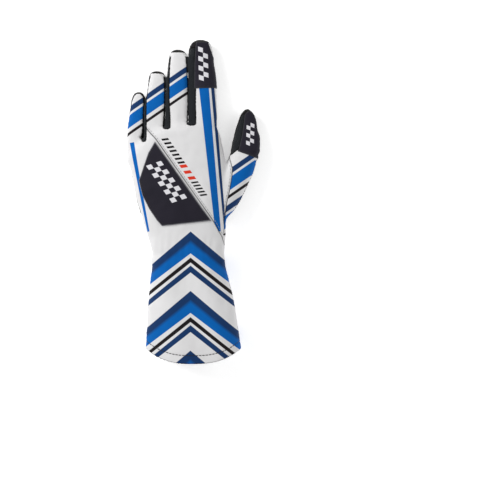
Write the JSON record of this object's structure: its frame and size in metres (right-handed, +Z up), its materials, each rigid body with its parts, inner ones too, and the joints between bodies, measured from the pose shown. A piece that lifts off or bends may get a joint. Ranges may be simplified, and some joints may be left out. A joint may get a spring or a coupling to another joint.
{
  "type": "karting glove",
  "caption": "Left-hand karting glove with a long flared gauntlet, printed back, dark strips between the fingers and raised grip pads on a suede palm.",
  "frame": {"origin": "middle of the palm, on the underside of the grip pads, where the glove lies on its surface", "axes": "+Y from the hem to the fingertips, +X towards the thumb, +Z up through the back of the hand"},
  "size_m": [0.1209, 0.291, 0.0371],
  "materials": {
    "print": "white stretch fabric with a printed pattern of blue, navy and black streaks",
    "suede": "black synthetic suede, matt",
    "stretch": "black stretch fabric, matt",
    "patch": "dark navy rubberised patch, satin",
    "grip": "off-white silicone, satin"
  },
  "bodies": {
    "root": {"back_panel": "print", "gauntlet_back_panel": "print", "gauntlet_front_panel": "print", "thumb_panel": "print", "palm_panel": "suede", "front_little": "suede", "front_ring": "suede", "front_middle": "suede", "front_index": "suede", "front_thumb": "suede", "fourchette_little_ring": "stretch", "fourchette_ring_middle": "stretch", "fourchette_middle_index": "stretch", "thumb_gusset": "stretch", "index_patch": "patch", "thumb_patch": "patch", "badge": "patch", "grip_tip_little": "grip", "grip_tip_ring": "grip", "grip_tip_middle": "grip", "grip_tip_index": "grip", "grip_tip_thumb": "grip", "grip_bar_little_1": "grip", "grip_bar_little_2": "grip", "grip_bar_little_3": "grip", "grip_bar_ring_1": "grip", "grip_bar_ring_2": "grip", "grip_bar_ring_3": "grip", "grip_bar_middle_1": "grip", "grip_bar_middle_2": "grip", "grip_bar_middle_3": "grip", "grip_bar_middle_4": "grip", "grip_bar_index_1": "grip", "grip_bar_index_2": "grip", "grip_bar_index_3": "grip", "grip_bar_index_4": "grip", "grip_bar_thumb_1": "grip", "grip_bar_thumb_2": "grip", "grip_bar_thumb_3": "grip", "grip_palm_knuckle_inner": "grip", "grip_palm_knuckle_outer": "grip", "grip_palm_band": "grip", "grip_palm_centre": "grip", "grip_palm_outer_heel": "grip", "grip_palm_thumb_base": "grip"}
  },
  "joints": []
}
